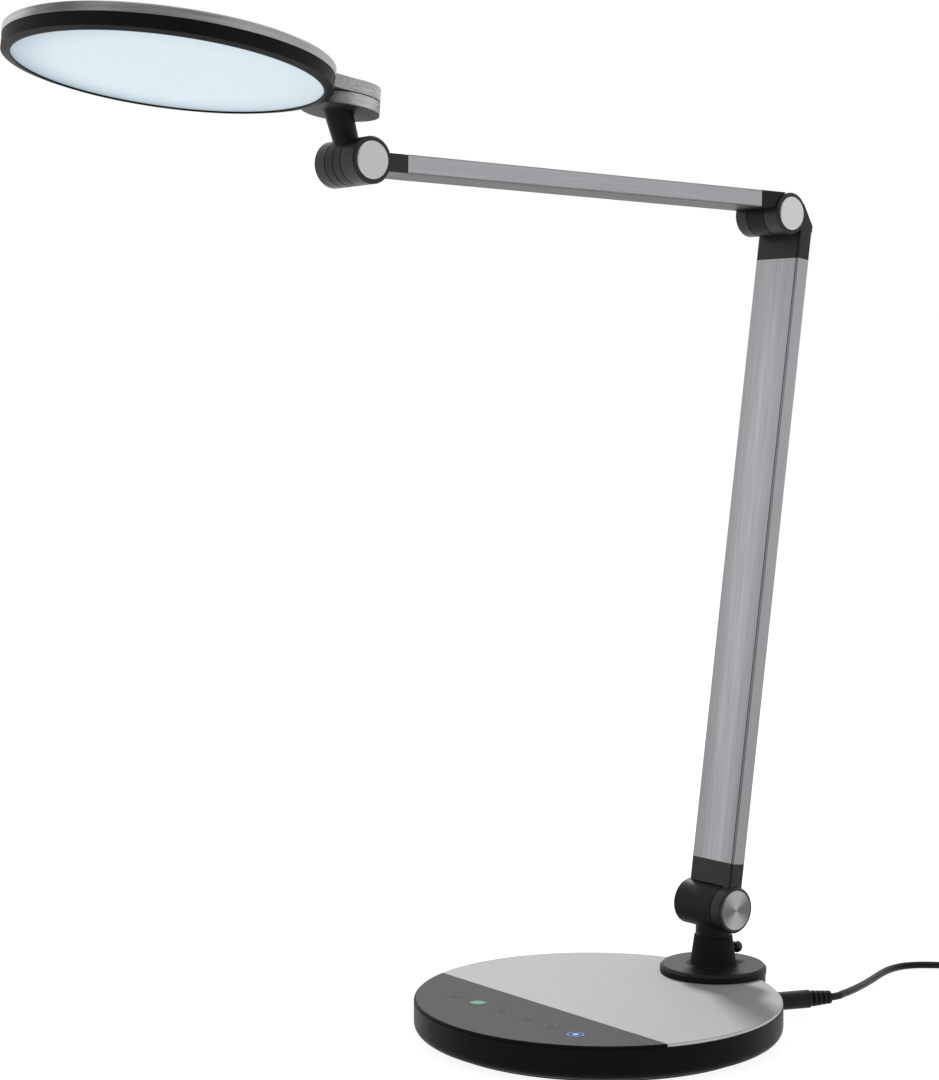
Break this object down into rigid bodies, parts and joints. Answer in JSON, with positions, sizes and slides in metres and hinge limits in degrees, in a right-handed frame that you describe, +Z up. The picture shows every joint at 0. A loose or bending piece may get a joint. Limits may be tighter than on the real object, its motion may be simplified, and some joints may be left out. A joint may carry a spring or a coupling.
{
  "type": "led desk lamp",
  "caption": "Desk lamp with a round weighted base, touch panel, two flat jointed arms on friction hinges and a round flat light head that tilts and swivels.",
  "frame": {"origin": "on the desk under the centre of the round base, on the foot's lower face", "axes": "+Z up; -Y is the front, toward the touch panel and the light head; +X to the right of someone who stands in front of the lamp and looks along +Y; the arm hinges turn about X"},
  "size_m": [0.248, 0.6135, 0.4899],
  "materials": {
    "black_rubber": "matte black rubber",
    "plain_steel": "zinc-plated steel",
    "black_steel": "blackened steel",
    "iron": "bare cast iron",
    "black_plastic": "satin black moulded plastic",
    "silver_plate": "satin anodised aluminium sheet",
    "panel_grey": "smoked grey touch panel",
    "dim_marks": "unlit key marks",
    "green_mark": "lit green key mark",
    "blue_mark": "lit blue key mark",
    "board": "green circuit board",
    "bush": "natural acetal",
    "cord_black": "black vinyl lead",
    "tie": "dark tie band",
    "adapter_black": "black moulded plastic",
    "brushed_caps": "spun-brushed aluminium caps",
    "satin_tube": "satin brushed aluminium extrusion",
    "brushed_silver": "brushed silver aluminium",
    "bezel_black": "black plastic bezel",
    "diffuser": "opal diffuser, lit",
    "light_guide": "clear acrylic",
    "led_strip": "light-emitting diode strip",
    "reflector_white": "white film",
    "plain_aluminium": "plain aluminium sheet"
  },
  "bodies": {
    "base": {"foot_pad": "black_rubber", "bottom_cover": "plain_steel", "cover_screws": "plain_steel", "base_weight": "iron", "weight_screws": "plain_steel", "base_shell": "black_plastic", "top_plate": "silver_plate", "touch_panel": "panel_grey", "touch_marks": "dim_marks", "mode_light": "green_mark", "power_light": "blue_mark", "touch_board": "board", "control_board": "board", "dc_jack": "black_plastic", "swivel_bush": "bush", "dc_plug": "cord_black", "cord_run": "cord_black", "cord_coil": "cord_black", "coil_tie": "tie", "power_adapter": "adapter_black", "adapter_blades": "plain_steel"},
    "swivel": {"swivel_post": "black_plastic", "swivel_washer": "plain_steel", "swivel_nut": "plain_steel", "shoulder_knuckle": "black_plastic", "neck_screw": "black_steel", "knuckle_cap": "brushed_caps"},
    "lower_arm": {"shoulder_fitting": "black_plastic", "shoulder_bolt": "plain_steel", "shoulder_nut": "plain_steel", "shoulder_washers": "plain_steel", "shoulder_cap": "brushed_caps", "lower_tube": "satin_tube", "elbow_fork": "black_plastic", "elbow_bolt": "plain_steel", "elbow_nut": "plain_steel", "elbow_washers": "bush", "elbow_caps": "brushed_caps"},
    "upper_arm": {"elbow_knuckle": "black_plastic", "upper_tube": "satin_tube", "tilt_fork": "black_plastic", "tilt_bolt": "plain_steel", "tilt_nut": "plain_steel", "tilt_washers": "bush", "tilt_caps": "brushed_caps"},
    "head_stem": {"tilt_stem": "black_plastic", "lower_puck": "brushed_silver", "pivot_washer": "bush", "pivot_bolt": "plain_steel"},
    "head": {"head_shell": "brushed_silver", "pivot_cover": "brushed_silver", "bezel": "bezel_black", "diffuser": "diffuser", "light_guide": "light_guide", "led_ring": "led_strip", "reflector": "reflector_white", "heat_plate": "plain_aluminium", "head_screws": "plain_steel"}
  },
  "joints": [
    {"name": "base_swivel", "type": "hinge", "parent": "base", "child": "swivel", "pos_m": [0, 0.0824, 0.0215], "axis": [0, 0, 1], "range_deg": [-90, 90]},
    {"name": "shoulder", "type": "hinge", "parent": "swivel", "child": "lower_arm", "pos_m": [0, 0.0824, 0.0552], "axis": [1, 0, 0], "range_deg": [-25, 45]},
    {"name": "elbow", "type": "hinge", "parent": "lower_arm", "child": "upper_arm", "pos_m": [0, 0.12165, 0.42504], "axis": [-1, 0, 0], "range_deg": [-60, 45]},
    {"name": "head_tilt", "type": "hinge", "parent": "upper_arm", "child": "head_stem", "pos_m": [0, -0.15331, 0.43606], "axis": [1, 0, 0], "range_deg": [-45, 75]},
    {"name": "head_swivel", "type": "hinge", "parent": "head_stem", "child": "head", "pos_m": [0, -0.1605, 0.45874], "axis": [-0.0242, 0.1444, 0.9892], "range_deg": [-90, 90]}
  ]
}
